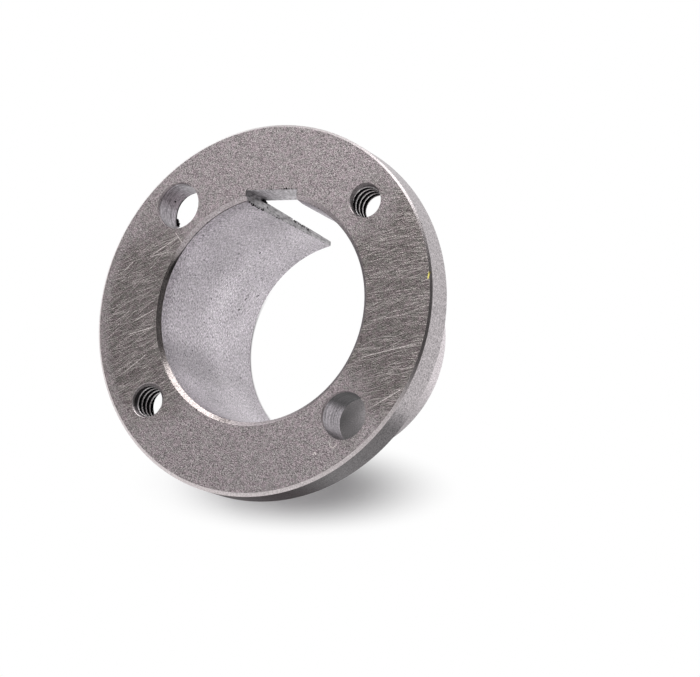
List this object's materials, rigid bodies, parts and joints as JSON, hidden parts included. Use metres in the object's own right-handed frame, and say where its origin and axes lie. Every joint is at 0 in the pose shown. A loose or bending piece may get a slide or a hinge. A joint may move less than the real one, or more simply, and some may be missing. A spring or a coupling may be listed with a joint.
{
  "type": "taper bush",
  "caption": "Flanged taper bush with a keyed parallel bore, a slotted taper barrel and plain and tapped holes in its flange.",
  "frame": {"origin": "centre of the bore at the face of the barrel's small end, on the surface that the bush stands on", "axes": "+Z along the bore towards the flange's front face, +Y through the middle of the keyway, +X to its right when the front face is looked at"},
  "size_m": [0.0635, 0.0634, 0.0318],
  "materials": {
    "bush": "machined, bare"
  },
  "bodies": {
    "root": {"bush": "bush"}
  },
  "joints": []
}
